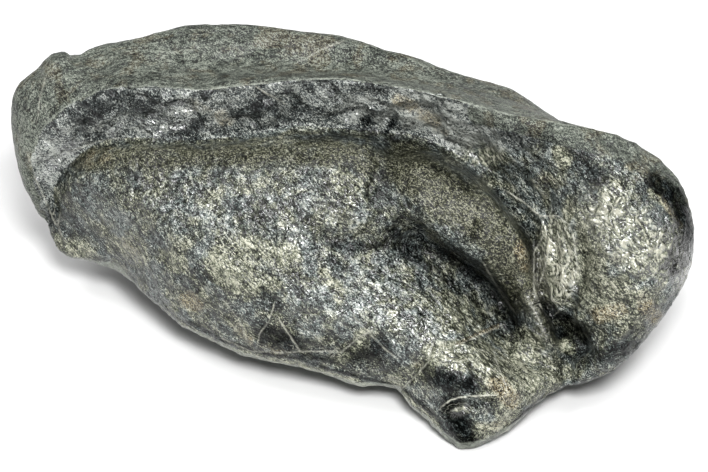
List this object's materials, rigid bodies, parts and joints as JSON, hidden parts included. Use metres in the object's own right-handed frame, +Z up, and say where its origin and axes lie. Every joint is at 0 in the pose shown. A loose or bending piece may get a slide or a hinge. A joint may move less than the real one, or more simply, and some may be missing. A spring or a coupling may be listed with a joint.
{
  "type": "fossil whale ear bone",
  "caption": "Petrified tympanic bulla of a baleen whale: a dense dark shell of bone that curls over an inner roll, lying on a small flat spot.",
  "frame": {"origin": "centre of the bounding box in plan, on the surface that the bone lies on", "axes": "+X along the bone towards its big round end lobe, +Y towards the smooth closed back of the shell, +Z up; the broken lip and the inner roll face -Y and up"},
  "size_m": [0.0973, 0.0424, 0.0388],
  "materials": {
    "fossil_bone": "satin dark grey petrified bone, glossy on the broken lip, with buff mineral specks"
  },
  "bodies": {
    "root": {"ear_bone": "fossil_bone"}
  },
  "joints": []
}
